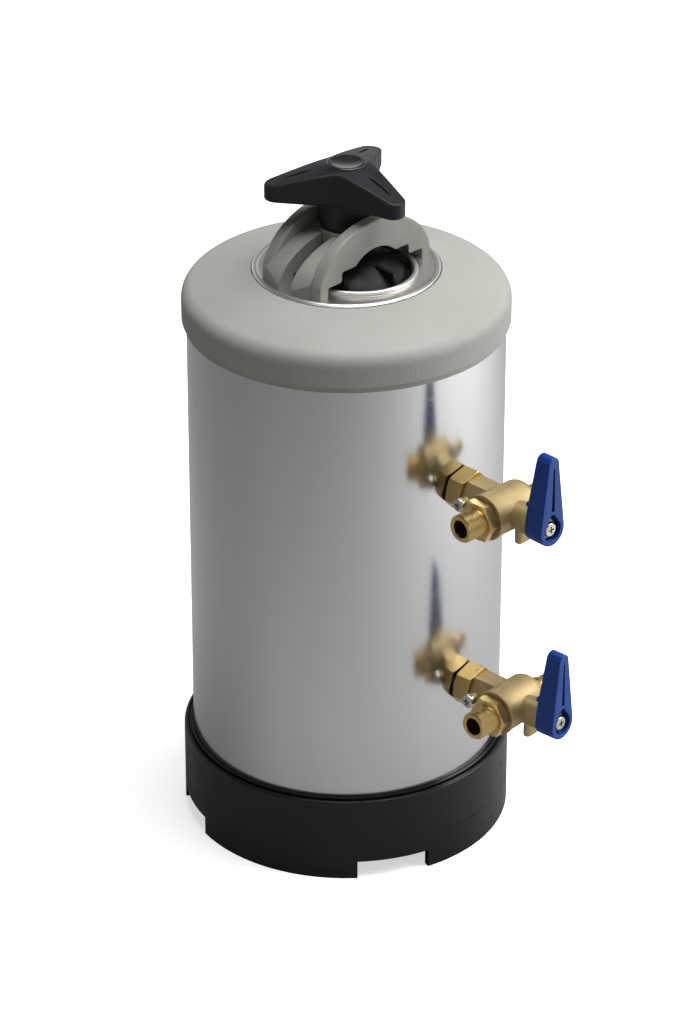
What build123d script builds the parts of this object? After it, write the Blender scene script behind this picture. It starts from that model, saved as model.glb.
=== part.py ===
from build123d import *
import os
from math import asin, cos, radians, sqrt, tan

os.makedirs("parts", exist_ok=True)

# Manual water softener: a steel resin tank on a plastic base, with two side valves and a lid clamped by a knob
# Frame: the origin is at the middle of the base's underside, +Z is up the tank, and the valves face +X.

# Cuts and fits
overrun = 5.0
seat_gap = 0.3
shaft_gap = 0.08
thread_gap = 0.1

# Tank
tank_r = 92.5
steel = 1.5
bottom_low = 18.0
bottom_crown_r = 200.0
bottom_knuckle = 18.0
seam_height = 324.0
head_crown_r = 259.0
head_apex = 358.2
head_knuckle = 7.0

# Mouth in the head: the oval's long axis lies along X
flange_r = 54.5
flange_top = 355.5
flange_thick = 5.0
bead_r = 2.0
mouth_x = 41.0
mouth_y = 34.0
lip_wall = 3.6
lip_top = 358.2
neck_low = 347.0
lip_round = 1.7

# Top collar
collar_gap = 0.5
collar_low = 321.5
collar_wall = 2.3
collar_step = 1.3
collar_step_high = 3.5
collar_lift = 0.4
collar_knuckle = 9.0
collar_edge_gap = 0.5
slot_wide = 2.0
slot_high = 3.5
slot_turn = -118.0

# Base
base_rim_wall = 2.2
base_high = 54.0
base_wall = 4.0
base_groove_wide = 1.2
base_groove_deep = 2.5
base_lip_wall = 1.8
base_lip_high = 8.0
base_shoulder = 1.7
base_shoulder_drop = 1.0
notch_count = 4
notch_turn = -28.0
notch_sweep = 26.0
notch_high = 11.5
shelf_inner_r = 60.0
shelf_seat_r = 75.0
shelf_thick = 3.0
web_count = 8
web_thick = 2.5
web_low = 16.0
web_inner_r = 68.0

# Resin
resin_top = 222.0
resin_gap = 0.5

# Lid, sealed from inside the mouth
lid_flange_x = 45.5
lid_flange_y = 38.5
lid_flange_thick = 8.0
lid_gasket_thick = 3.0
lid_gasket_inset = 0.3
lid_gasket_hole_gap = 0.3
lid_plug_gap = 1.0
lid_plug_top = 353.0
lid_dome_top = 366.0
lid_boss_r = 9.0
lid_boss_top = 367.5
lid_rib_count = 8
lid_rib_top = 363.5
lid_rib_thick = 2.6
lid_rib_inset = 1.2

# Stud
stud_r = 6.0
stud_short = 1.0
stud_head_across = 18.0
stud_head_thick = 7.0
stud_chamfer = 1.0
stud_seal_r = 9.5
stud_seal_thick = 1.5

# Bridge: two stepped arches along Y, joined by a saddle under the knob
bridge_half = 23.5
bridge_rib_wall = 7.9
bridge_slot_half = 4.5
bridge_foot_r = 50.0
bridge_rib_reach = 46.0
bridge_rib_top = 391.6
bridge_ledge_top = 381.5
bridge_foot_inner = 38.2
bridge_lip_notch_inner = 27.0
bridge_lip_notch_top = 362.0
bridge_belly = 368.3
bridge_arch_half = 16.0
bridge_arch_top = 374.8
bridge_arch_round = 1.8
bridge_fin_round = 1.6
saddle_half = 15.0
saddle_inlet = 0.6
saddle_top = 382.0
stud_hole_gap = 0.6

# Thrust washer
washer_thick = 1.5
washer_r = 13.5

# Knob
knob_skirt_r = 15.2
knob_spine_r = 14.2
knob_flat_r = 12.0
knob_tip_r = 6.5
knob_arm_long = 41.0
knob_arm_count = 3
knob_arm_turn = 115.5
knob_crotch = 9.0
knob_skirt_long = 14.7
knob_arm_tall = 21.0
knob_tip_drop = 9.0
knob_tip_rise = 2.7
knob_edge = 1.5
knob_groove_start = 19.0
knob_groove_long = 19.0
knob_groove_wide = 2.2
knob_groove_deep = 1.0
insert_across = 19.0
insert_long = 22.0
insert_drop = 6.5
cap_r = 11.4
cap_seat_deep = 1.5
cap_rise = 1.3
cap_crest_r = 9.1
cap_dish_deep = 1.0
cap_round = 1.0

# Valves: the tank port, the stem and the lever are in line on +X, and the outlet faces -Y
lower_valve_height = 113.5
lower_valve_turn = 4.2
upper_valve_height = 247.0
upper_valve_turn = -0.5
socket_r = 10.3
socket_face = 0.3
socket_inside = 3.0
port_gasket_r = 10.4
port_gasket_thick = 0.5
locknut_across = 23.5
locknut_thick = 10.7
locknut_turn = 15.0
locknut_chamfer = 0.8
tail_r = 7.9
neck_across = 20.0
neck_long = 24.0
barrel_r = 13.2
barrel_front = 14.5
barrel_back = 17.0
barrel_back_round = 6.0
barrel_rim_r = 13.7
barrel_rim_long = 2.2
barrel_rim_round = 0.4
drain_boss_r = 6.0
drain_boss_long = 5.0
drain_boss_round = 1.0
stem_boss_r = 8.5
stem_boss_long = 24.0
post_r = 2.6
post_long = 9.3
post_deep = 10.4
post_back = 12.0
post_round = 1.2
port_bore_r = 5.3
ball_r = 8.6
seat_reach = 10.8
cavity_r = 9.4
stem_r = 4.0
tongue_thick = 2.8
stem_flat_across = 5.6
stem_flat_long = 9.0
stem_groove_deep = 0.9
stem_ring_wide = 1.6
stem_ring_back = 11.0
gland_r = 6.6
gland_long = 5.0
bleed_x_back = 3.5
bleed_boss_r = 3.1
bleed_boss_reach = 12.8
bleed_screw_r = 2.0
bleed_head_r = 4.2
bleed_head_high = 3.2
bleed_seal_thick = 1.3
bleed_seal_r = 3.0

# Outlet nipple: G3/8 male thread
nipple_thread_r = 8.33
nipple_thread_long = 12.8
nipple_hex_across = 22.0
nipple_hex_thick = 6.0
nipple_spigot_long = 5.0
nipple_spigot_r = 8.0
nipple_gasket_thick = 0.8
nipple_chamfer = 0.9

# Drain spout
spout_r = 4.0
spout_bore_r = 2.4
spout_long = 17.0
spout_collar_r = 6.0
spout_collar_long = 2.5
spout_plug_long = 5.0
barb_count = 3
barb_rise = 0.8
barb_pitch = 3.6
barb_long = 2.5
barb_taper = 12.0
barb_start = 4.0

# Lever
lever_gap = 0.5
lever_hub_r = 9.7
lever_tip_r = 4.2
lever_long = 42.0
lever_thick = 13.0
lever_tip_thick = 9.8
lever_edge = 0.7
lever_pocket_r = 6.7
lever_pocket_tip_r = 2.4
lever_pocket_reach = 8.0
lever_pocket_deep = 5.0
lever_groove_start = 12.0
lever_groove_long = 28.0
lever_groove_wide = 2.6
lever_groove_end_wide = 1.0
lever_groove_deep = 1.4
lever_lug_r = 1.6
lever_lug_side = 5.4
lever_lug_up = 14.0
lever_lug_back = 1.5
lever_washer_r = 5.7
lever_washer_thick = 1.0
lever_screw_r = 2.0
lever_screw_head_r = 4.4
lever_screw_head_high = 3.0
lever_screw_long = 7.0
cross_wide = 1.2
cross_long = 4.6
cross_deep = 1.4
head_round = 1.2

# Strainers inside the tank
strainer_r = 8.5
strainer_wall = 1.5
strainer_long = 30.0
strainer_slot_wide = 1.2
strainer_slot_count = 6
strainer_slot_pitch = 3.6
strainer_slot_margin = 5.0
strainer_collar_r = 12.0
strainer_collar_thick = 2.0

# Places that follow from the sizes above
collar_r = tank_r + collar_gap + collar_wall
base_r = tank_r + seat_gap + base_lip_wall + base_groove_wide + base_rim_wall
seat_x = tank_r + socket_face
locknut_x = seat_x + port_gasket_thick
neck_x = locknut_x + locknut_thick
barrel_x = neck_x + neck_long
stem_end_x = barrel_x + stem_boss_long
lever_x = stem_end_x + lever_gap
rim_y = barrel_front + barrel_rim_long
hex_y = rim_y + nipple_gasket_thick
thread_y = hex_y + nipple_hex_thick
drain_y = barrel_back + drain_boss_long
socket_back_x = tank_r - steel - socket_inside
lid_seal_z = neck_low - lid_gasket_thick
lid_low = lid_seal_z - lid_flange_thick
washer_top = saddle_top + washer_thick
knob_low = washer_top + seat_gap
knob_arm_low = knob_low + knob_skirt_long
knob_top = knob_arm_low + knob_arm_tall
knob_tip_top = knob_top - knob_tip_drop
knob_tip_low = knob_arm_low + knob_tip_rise
cap_rim_top = knob_top + cap_rise
insert_top = knob_top - insert_drop
stud_top = insert_top - stud_short
valve_heights = {"lower": lower_valve_height, "upper": upper_valve_height}
valve_turns = {"lower": lower_valve_turn, "upper": upper_valve_turn}


def sag(radius, reach):
    """Drop of a dome of the given radius at a distance from its axis."""
    return radius - sqrt(radius**2 - reach**2)


def stem_plane(x, height):
    """Plane square to a valve's stem, facing away from the tank."""
    return Plane(origin=(x, 0, height), x_dir=(0, 1, 0), z_dir=(1, 0, 0))


def outlet_plane(y, height):
    """Plane square to a valve's barrel, facing out of the outlet; y is counted towards the outlet."""
    return Plane(origin=(barrel_x, -y, height), x_dir=(1, 0, 0), z_dir=(0, -1, 0))


def drain_plane(y, height):
    """Plane square to a valve's barrel, facing out of the drain; y is counted towards the drain."""
    return Plane(origin=(barrel_x, y, height), x_dir=(-1, 0, 0), z_dir=(0, 1, 0))


def barrel_profile_plane(height):
    """Plane along a valve's barrel: first axis towards the outlet, second axis up."""
    return Plane(origin=(barrel_x, 0, height), x_dir=(0, -1, 0), z_dir=(-1, 0, 0))


def barrel_axis(height):
    """Centre line of a valve's barrel."""
    return Axis((barrel_x, 0, height), (0, 1, 0))


def turned(part, side_name):
    """A valve's piece, or its hollow, turned round the tank to its port."""
    with BuildPart() as placed:
        with Locations(Location((0, 0, 0), (0, 0, valve_turns[side_name]))):
            add(part)
    return placed.part


def save(part, name):
    """Label a finished piece and write its file."""
    part.label = name
    export_step(part, f"parts/{name}.step")
    print(f"{name}: {len(part.solids())} solid(s), {part.volume:.0f} mm3")


def port_hollow(height, radius, start, finish):
    """Round hollow along a valve's port, between two distances from the tank's centre line."""
    with BuildPart() as hollow:
        with BuildSketch(stem_plane(start, height)):
            Circle(radius)
        extrude(amount=finish - start)
    return hollow.part


# Tank shell: a straight wall with a domed bottom, open at the seam
ports = [
    turned(port_hollow(valve_height, socket_r, 0, tank_r + overrun), side_name)
    for side_name, valve_height in valve_heights.items()
]
with BuildPart() as tank_shell:
    with BuildSketch(Plane.XZ) as tank_profile:
        with BuildLine():
            edge_z = bottom_low + sag(bottom_crown_r, tank_r)
            middle_z = bottom_low + sag(bottom_crown_r, tank_r / 2)
            ThreePointArc((0, bottom_low), (tank_r / 2, middle_z), (tank_r, edge_z))
            Polyline((tank_r, edge_z), (tank_r, seam_height), (0, seam_height), (0, bottom_low))
        make_face()
        corner = tank_profile.vertices().group_by(Axis.X)[-1].sort_by(Axis.Y)[0]
        fillet(corner, radius=bottom_knuckle)
    revolve(axis=Axis.Z)
    offset(amount=-steel, openings=tank_shell.faces().sort_by(Axis.Z)[-1])
    add(ports, mode=Mode.SUBTRACT)
save(tank_shell.part, "tank_shell")

# Top head: a dome with a thick flange, a raised bead and an oval neck
with BuildPart() as top_head:
    with BuildSketch(Plane.XZ) as head_profile:
        with BuildLine():
            outer_edge = head_apex - sag(head_crown_r, tank_r)
            outer_middle = head_apex - sag(head_crown_r, tank_r / 2)
            ThreePointArc((0, head_apex), (tank_r / 2, outer_middle), (tank_r, outer_edge))
            Polyline((tank_r, outer_edge), (tank_r, seam_height), (0, seam_height), (0, head_apex))
        make_face()
        corner = head_profile.vertices().group_by(Axis.X)[-1].sort_by(Axis.Y)[-1]
        fillet(corner, radius=head_knuckle)
    revolve(axis=Axis.Z)
    offset(amount=-steel, openings=top_head.faces().sort_by(Axis.Z)[0])
    with BuildSketch(Plane.XY.offset(flange_top - flange_thick)):
        Circle(flange_r)
    extrude(amount=flange_thick)
    with BuildSketch(Plane.XZ):
        with Locations((flange_r - bead_r, flange_top - bead_r / 2)):
            Circle(bead_r)
    revolve(axis=Axis.Z)
    with BuildSketch(Plane.XY.offset(neck_low)):
        Ellipse(mouth_x + lip_wall, mouth_y + lip_wall)
    extrude(amount=lip_top - neck_low)
    with BuildSketch(Plane.XY.offset(neck_low - overrun)):
        Ellipse(mouth_x, mouth_y)
    extrude(amount=lip_top - neck_low + overrun + overrun, mode=Mode.SUBTRACT)
    fillet(top_head.edges().group_by(Axis.Z)[-1], radius=lip_round)
save(top_head.part, "top_head")

# Top collar: a plastic ring over the seam and the head
with BuildPart() as top_collar:
    collar_crown_r = head_crown_r + collar_wall + collar_lift
    collar_apex = head_apex + collar_wall + collar_lift
    hole_r = flange_r + collar_edge_gap
    with BuildSketch(Plane.XZ) as collar_profile:
        with BuildLine():
            outer_edge = collar_apex - sag(collar_crown_r, collar_r)
            outer_middle = collar_apex - sag(collar_crown_r, (collar_r + hole_r) / 2)
            hole_top = collar_apex - sag(collar_crown_r, hole_r)
            ThreePointArc((hole_r, hole_top), ((collar_r + hole_r) / 2, outer_middle), (collar_r, outer_edge))
            Polyline((collar_r, outer_edge), (collar_r, collar_low), (hole_r, collar_low), (hole_r, hole_top))
        make_face()
        corner = collar_profile.vertices().group_by(Axis.X)[-1].sort_by(Axis.Y)[-1]
        fillet(corner, radius=collar_knuckle)
    revolve(axis=Axis.Z)
    with BuildSketch(Plane.XZ) as hollow_profile:
        with BuildLine():
            inner_r = collar_r - collar_wall
            inner_crown_r = collar_crown_r - collar_wall
            inner_apex = collar_apex - collar_wall
            inner_edge = inner_apex - sag(inner_crown_r, inner_r)
            inner_middle = inner_apex - sag(inner_crown_r, inner_r / 2)
            below = collar_low - overrun
            ThreePointArc((0, inner_apex), (inner_r / 2, inner_middle), (inner_r, inner_edge))
            Polyline((inner_r, inner_edge), (inner_r, below), (0, below), (0, inner_apex))
        make_face()
        corner = hollow_profile.vertices().group_by(Axis.X)[-1].sort_by(Axis.Y)[-1]
        fillet(corner, radius=collar_knuckle - collar_wall)
    revolve(axis=Axis.Z, mode=Mode.SUBTRACT)
    with BuildSketch(Plane.XY.offset(collar_low)):
        Circle(collar_r + overrun)
        Circle(collar_r - collar_step, mode=Mode.SUBTRACT)
    extrude(amount=collar_step_high, mode=Mode.SUBTRACT)
    with BuildSketch(Plane.XY.offset(collar_low).rotated((0, 0, slot_turn))):
        with Locations((collar_r, 0)):
            Rectangle(overrun + overrun, slot_wide)
    extrude(amount=slot_high, mode=Mode.SUBTRACT)
save(top_collar.part, "top_collar")

# Base skirt: a notched ring with a sloping shelf under the tank's dome
with BuildPart() as base_skirt:
    base_inner_r = base_r - base_wall
    lip_r = tank_r + seat_gap
    groove_r = lip_r + base_lip_wall
    shoulder_z = base_high - base_shoulder_drop
    with BuildSketch(Plane.XZ) as skirt_profile:
        with BuildLine():
            Polyline(
                (base_inner_r, 0),
                (base_r, 0),
                (base_r, shoulder_z),
                (groove_r + base_groove_wide, shoulder_z),
                (groove_r + base_groove_wide, base_high - base_groove_deep),
                (groove_r, base_high - base_groove_deep),
                (groove_r, base_high),
                (lip_r, base_high),
                (lip_r, base_high - base_lip_high),
                (base_inner_r, base_high - base_lip_high - (base_inner_r - lip_r)),
                close=True,
            )
        make_face()
        corner = skirt_profile.vertices().group_by(Axis.X)[-1].sort_by(Axis.Y)[-1]
        fillet(corner, radius=base_shoulder)
    revolve(axis=Axis.Z)
    shelf_slope = shelf_seat_r / sqrt(bottom_crown_r**2 - shelf_seat_r**2)
    seat_z = bottom_low + sag(bottom_crown_r, shelf_seat_r) - seat_gap * sqrt(1 + shelf_slope**2)
    shelf_outer_z = seat_z + shelf_slope * (base_inner_r - shelf_seat_r)
    shelf_inner_z = seat_z + shelf_slope * (shelf_inner_r - shelf_seat_r)
    with BuildSketch(Plane.XZ):
        with BuildLine():
            Polyline(
                (shelf_inner_r, shelf_inner_z),
                (base_inner_r, shelf_outer_z),
                (base_inner_r, shelf_outer_z - shelf_thick),
                (shelf_inner_r, shelf_inner_z - shelf_thick),
                close=True,
            )
        make_face()
    revolve(axis=Axis.Z)
    with BuildSketch(Plane.XZ):
        with BuildLine():
            web_top = shelf_inner_z + shelf_slope * (web_inner_r - shelf_inner_r) - shelf_thick / 2
            Polyline(
                (web_inner_r, web_low),
                (base_inner_r + base_wall / 2, web_low),
                (base_inner_r + base_wall / 2, shelf_outer_z - shelf_thick / 2),
                (base_inner_r, shelf_outer_z - shelf_thick / 2),
                (web_inner_r, web_top),
                close=True,
            )
        make_face()
    web = extrude(amount=web_thick / 2, both=True, mode=Mode.PRIVATE)
    with PolarLocations(0, web_count):
        add(web)
    with BuildSketch(Plane.XY):
        with BuildLine():
            reach = base_r + overrun
            half = reach * tan(radians(notch_sweep / 2))
            Polyline((0, 0), (reach, -half), (reach, half), close=True)
        make_face()
        Circle(base_inner_r - overrun, mode=Mode.SUBTRACT)
    notch = extrude(amount=notch_high, mode=Mode.PRIVATE)
    with PolarLocations(0, notch_count, start_angle=notch_turn):
        add(notch, mode=Mode.SUBTRACT)
save(base_skirt.part, "base_skirt")

# Lid: an oval plate under the mouth, with a plug, a dome and ribs inside the mouth
with BuildPart() as lid:
    plug_x = mouth_x - lid_plug_gap
    plug_y = mouth_y - lid_plug_gap
    with BuildSketch(Plane.XY.offset(lid_low)):
        Ellipse(lid_flange_x, lid_flange_y)
    extrude(amount=lid_flange_thick)
    with BuildSketch(Plane.XY.offset(lid_seal_z)):
        Ellipse(plug_x, plug_y)
    extrude(amount=lid_plug_top - lid_seal_z)
    dome_shares = ((1.0, 0.0), (0.86, 0.42), (0.62, 0.78), (0.36, 0.97), (0.2, 1.0))
    for wide_share, high_share in dome_shares:
        with BuildSketch(Plane.XY.offset(lid_plug_top + high_share * (lid_dome_top - lid_plug_top))):
            Ellipse((plug_x - lid_rib_inset) * wide_share, (plug_y - lid_rib_inset) * wide_share)
    loft()
    with BuildSketch(Plane.XY.offset(lid_plug_top - lid_rib_thick)):
        with PolarLocations(0, lid_rib_count // 2, angular_range=180):
            Rectangle(plug_x + plug_x, lid_rib_thick)
        Ellipse(plug_x - lid_rib_inset, plug_y - lid_rib_inset, mode=Mode.INTERSECT)
    extrude(amount=lid_rib_top - lid_plug_top + lid_rib_thick)
    with BuildSketch(Plane.XY.offset(lid_plug_top)):
        Circle(lid_boss_r)
    extrude(amount=lid_boss_top - lid_plug_top)
    with Locations((0, 0, lid_boss_top)):
        Hole(radius=stud_r)
save(lid.part, "lid")

with BuildPart() as lid_gasket:
    with BuildSketch(Plane.XY.offset(lid_seal_z)):
        Ellipse(lid_flange_x - lid_gasket_inset, lid_flange_y - lid_gasket_inset)
        Ellipse(plug_x + lid_gasket_hole_gap, plug_y + lid_gasket_hole_gap, mode=Mode.SUBTRACT)
    extrude(amount=lid_gasket_thick)
save(lid_gasket.part, "lid_gasket")

# Stud: a hexagon-headed bolt held in the lid
with BuildPart() as lid_stud:
    head_z = lid_low - stud_seal_thick
    with BuildSketch(Plane.XY.offset(head_z - stud_head_thick)):
        RegularPolygon(stud_head_across / 2, 6, major_radius=False)
    extrude(amount=stud_head_thick)
    with BuildSketch(Plane.XY.offset(head_z)):
        Circle(stud_r)
    extrude(amount=stud_top - head_z)
    chamfer(lid_stud.edges().group_by(Axis.Z)[-1], length=stud_chamfer)
save(lid_stud.part, "lid_stud")

with BuildPart() as stud_seal:
    with BuildSketch(Plane.XY.offset(lid_low - stud_seal_thick)):
        Circle(stud_seal_r)
        Circle(stud_r, mode=Mode.SUBTRACT)
    extrude(amount=stud_seal_thick)
save(stud_seal.part, "stud_seal")

# Bridge
with BuildPart() as bridge:
    rib_inner = bridge_half - bridge_rib_wall
    with BuildSketch(Plane.XY.offset(flange_top)):
        Circle(bridge_foot_r)
        Rectangle(bridge_half + bridge_half, bridge_foot_r + bridge_foot_r, mode=Mode.INTERSECT)
    extrude(amount=bridge_rib_top - flange_top)
    side = Plane(origin=(0, 0, flange_top), x_dir=(0, 1, 0), z_dir=(1, 0, 0))
    with BuildSketch(side):
        Ellipse(bridge_rib_reach, bridge_rib_top - flange_top)
    arch = extrude(amount=bridge_half, both=True, mode=Mode.PRIVATE)
    with BuildSketch(side):
        Ellipse(bridge_foot_r, bridge_ledge_top - flange_top)
    ledge = extrude(amount=rib_inner + bridge_fin_round, both=True, mode=Mode.PRIVATE)
    with BuildSketch(Plane.XY.offset(flange_top)):
        with Locations((rib_inner + bridge_rib_wall / 2, 0), (-rib_inner - bridge_rib_wall / 2, 0)):
            Rectangle(bridge_rib_wall, bridge_foot_r + bridge_foot_r)
    ribs = extrude(amount=bridge_rib_top - flange_top, mode=Mode.PRIVATE)
    fins = arch & ribs
    long_edges = fins.edges().filter_by(lambda e: e.bounding_box().size.Y > bridge_rib_reach)
    top_edges = long_edges.filter_by(lambda e: e.bounding_box().max.Z > bridge_rib_top - shaft_gap)
    fins = fins.fillet(bridge_fin_round, top_edges)
    add(ledge + fins, mode=Mode.INTERSECT)
    with BuildSketch(side.offset(-bridge_half - overrun)) as underside:
        with BuildLine():
            notch_z = bridge_lip_notch_top - flange_top
            belly_z = bridge_belly - flange_top
            Polyline(
                (-bridge_arch_half, belly_z),
                (-bridge_lip_notch_inner, belly_z),
                (-bridge_lip_notch_inner, notch_z),
                (-bridge_foot_inner, notch_z),
                (-bridge_foot_inner, -overrun),
                (bridge_foot_inner, -overrun),
                (bridge_foot_inner, notch_z),
                (bridge_lip_notch_inner, notch_z),
                (bridge_lip_notch_inner, belly_z),
                (bridge_arch_half, belly_z),
            )
            arch_top = (0, bridge_arch_top - flange_top)
            ThreePointArc((-bridge_arch_half, belly_z), arch_top, (bridge_arch_half, belly_z))
        make_face()
        fillet(underside.vertices().filter_by(lambda v: v.Y > 0), radius=bridge_arch_round)
    extrude(amount=(bridge_half + overrun) * 2, mode=Mode.SUBTRACT)
    with BuildSketch(Plane.XY.offset(flange_top)):
        slot_long = bridge_foot_r - saddle_half
        with Locations((0, saddle_half + slot_long / 2), (0, -saddle_half - slot_long / 2)):
            Rectangle(bridge_slot_half + bridge_slot_half, slot_long)
    extrude(amount=bridge_rib_top - flange_top, mode=Mode.SUBTRACT)
    with BuildSketch(Plane.XY.offset(bridge_arch_top)):
        Circle(rib_inner + saddle_inlet)
    extrude(amount=saddle_top - bridge_arch_top)
    with Locations((0, 0, saddle_top)):
        Hole(radius=stud_r + stud_hole_gap)
save(bridge.part, "bridge")

with BuildPart() as thrust_washer:
    with BuildSketch(Plane.XY.offset(saddle_top)):
        Circle(washer_r)
        Circle(stud_r + stud_hole_gap, mode=Mode.SUBTRACT)
    extrude(amount=washer_thick)
save(thrust_washer.part, "thrust_washer")

# Knob: a skirt and three drooping arms
with BuildPart() as knob:
    arm_step = 360 / knob_arm_count
    with BuildSketch(Plane.XY.offset(knob_arm_low)) as knob_outline:
        for arm in range(knob_arm_count):
            with BuildSketch(mode=Mode.PRIVATE) as arm_outline:
                Circle(knob_spine_r)
                with PolarLocations(knob_arm_long, 1, start_angle=knob_arm_turn + arm * arm_step):
                    Circle(knob_tip_r)
                make_hull()
            add(arm_outline.sketch)
        arm_taper = asin((knob_spine_r - knob_tip_r) / knob_arm_long)
        crotch_turn = radians(90 - arm_step / 2) - arm_taper
        knob_waist_r = (knob_spine_r + knob_crotch) / cos(crotch_turn) - knob_crotch
        crotches = knob_outline.vertices().filter_by(lambda v: sqrt(v.X**2 + v.Y**2) < knob_waist_r)
        fillet(crotches, radius=knob_crotch)
    extrude(amount=knob_top - knob_arm_low)
    knob_reach = knob_arm_long + knob_tip_r
    between_arms = Plane.XZ.rotated((0, 0, knob_arm_turn + arm_step / 2), ordering=Extrinsic.XYZ)
    with BuildSketch(between_arms):
        with BuildLine():
            Polyline(
                (0, knob_arm_low),
                (knob_flat_r, knob_arm_low),
                (knob_reach, knob_tip_low),
                (knob_reach, knob_tip_top),
                (cap_r, knob_top),
                (0, knob_top),
                close=True,
            )
        make_face()
    revolve(axis=Axis.Z, mode=Mode.INTERSECT)
    outline_edges = knob.edges().filter_by(
        lambda e: e.bounding_box().size.Z < (knob_tip_top - knob_tip_low) / 2
        and sqrt(e.center().X ** 2 + e.center().Y ** 2) > knob_waist_r - shaft_gap
    )
    fillet(outline_edges, radius=knob_edge)
    with BuildSketch(Plane.XY.offset(knob_arm_low)):
        with BuildLine():
            groove_end = knob_groove_start + knob_groove_long
            groove_middle = (knob_groove_start + groove_end) / 2
            ThreePointArc((knob_groove_start, 0), (groove_middle, knob_groove_wide / 2), (groove_end, 0))
            ThreePointArc((groove_end, 0), (groove_middle, -knob_groove_wide / 2), (knob_groove_start, 0))
        make_face()
    lens = extrude(amount=knob_top - knob_arm_low, mode=Mode.PRIVATE)
    with BuildSketch(Plane.XZ):
        with BuildLine():
            Polyline(
                (cap_r, knob_top - knob_groove_deep),
                (knob_reach, knob_tip_top - knob_groove_deep),
                (knob_reach, knob_top + overrun),
                (cap_r, knob_top + overrun),
                close=True,
            )
        make_face()
    above_floor = extrude(amount=knob_groove_wide, both=True, mode=Mode.PRIVATE)
    with PolarLocations(0, knob_arm_count, start_angle=knob_arm_turn):
        add(lens & above_floor, mode=Mode.SUBTRACT)
    with BuildSketch(Plane.XY.offset(knob_low)):
        Circle(knob_skirt_r)
    extrude(amount=knob_arm_low - knob_low + knob_edge + knob_edge)
    with BuildSketch(Plane.XY.offset(knob_top - cap_seat_deep)):
        Circle(cap_r)
    extrude(amount=cap_seat_deep + overrun, mode=Mode.SUBTRACT)
    with BuildSketch(Plane.XY.offset(insert_top - insert_long)):
        RegularPolygon(insert_across / 2, 6, major_radius=False)
    extrude(amount=insert_long, mode=Mode.SUBTRACT)
    with BuildSketch(Plane.XY.offset(knob_low - overrun)):
        Circle(stud_r + stud_hole_gap)
    extrude(amount=insert_top - knob_low + overrun, mode=Mode.SUBTRACT)
save(knob.part, "knob")

with BuildPart() as knob_insert:
    with BuildSketch(Plane.XY.offset(insert_top - insert_long)):
        RegularPolygon(insert_across / 2, 6, major_radius=False)
        Circle(stud_r + thread_gap, mode=Mode.SUBTRACT)
    extrude(amount=insert_long)
save(knob_insert.part, "knob_insert")

with BuildPart() as knob_cap:
    with BuildSketch(Plane.XZ) as cap_profile:
        with BuildLine():
            cap_seat_z = knob_top - cap_seat_deep
            dish_z = cap_rim_top - cap_dish_deep
            dish_r = (cap_crest_r**2 + cap_dish_deep**2) / (cap_dish_deep + cap_dish_deep)
            dish_middle = (cap_crest_r / 2, dish_z + sag(dish_r, cap_crest_r / 2))
            Polyline((0, dish_z), (0, cap_seat_z), (cap_r, cap_seat_z), (cap_r, cap_rim_top))
            Polyline((cap_r, cap_rim_top), (cap_crest_r, cap_rim_top))
            ThreePointArc((cap_crest_r, cap_rim_top), dish_middle, (0, dish_z))
        make_face()
        fillet(cap_profile.vertices().group_by(Axis.X)[-1].sort_by(Axis.Y)[-1], radius=cap_round)
    revolve(axis=Axis.Z)
save(knob_cap.part, "knob_cap")


def port_strainer(height):
    """Slotted tube inside the tank, with a collar against the tank socket."""
    with BuildPart() as strainer:
        with BuildSketch(stem_plane(socket_back_x - strainer_long, height)):
            Circle(strainer_r)
        extrude(amount=strainer_long)
        with BuildSketch(stem_plane(socket_back_x - strainer_collar_thick, height)):
            Circle(strainer_collar_r)
        extrude(amount=strainer_collar_thick)
        with BuildSketch(stem_plane(socket_back_x - strainer_long + strainer_wall, height)):
            Circle(strainer_r - strainer_wall)
        extrude(amount=strainer_long, mode=Mode.SUBTRACT)
        first = socket_back_x - strainer_long + strainer_slot_margin
        with BuildSketch(Plane.XY.offset(height - strainer_r)):
            for slot in range(strainer_slot_count):
                with Locations((first + slot * strainer_slot_pitch, 0)):
                    Rectangle(strainer_slot_wide, strainer_r)
        extrude(amount=strainer_r + strainer_r, mode=Mode.SUBTRACT)
    return strainer.part


def tank_socket(height):
    """Boss welded through the tank wall, which takes the valve's tail."""
    with BuildPart() as socket:
        with BuildSketch(stem_plane(socket_back_x, height)):
            Circle(socket_r)
            Circle(tail_r + thread_gap, mode=Mode.SUBTRACT)
        extrude(amount=seat_x - socket_back_x)
    return socket.part


def port_gasket(height):
    """Fibre washer between the tank socket and the locknut."""
    with BuildPart() as gasket:
        with BuildSketch(stem_plane(seat_x, height)):
            Circle(port_gasket_r)
            Circle(tail_r + thread_gap, mode=Mode.SUBTRACT)
        extrude(amount=port_gasket_thick)
    return gasket.part


def port_locknut(height):
    """Hexagon locknut on the valve's tail."""
    with BuildPart() as locknut:
        with BuildSketch(stem_plane(locknut_x, height)):
            RegularPolygon(locknut_across / 2, 6, major_radius=False, rotation=locknut_turn)
        extrude(amount=locknut_thick)
        corner_r = locknut_across / sqrt(3)
        with BuildSketch(stem_plane(locknut_x, height)):
            Circle(corner_r)
        barrel = extrude(amount=locknut_thick, mode=Mode.PRIVATE)
        rounds = barrel.edges().filter_by(GeomType.CIRCLE)
        add(barrel.chamfer(locknut_chamfer, None, rounds), mode=Mode.INTERSECT)
        with BuildSketch(stem_plane(locknut_x, height)):
            Circle(tail_r + thread_gap)
        extrude(amount=locknut_thick, mode=Mode.SUBTRACT)
    return locknut.part


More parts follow.
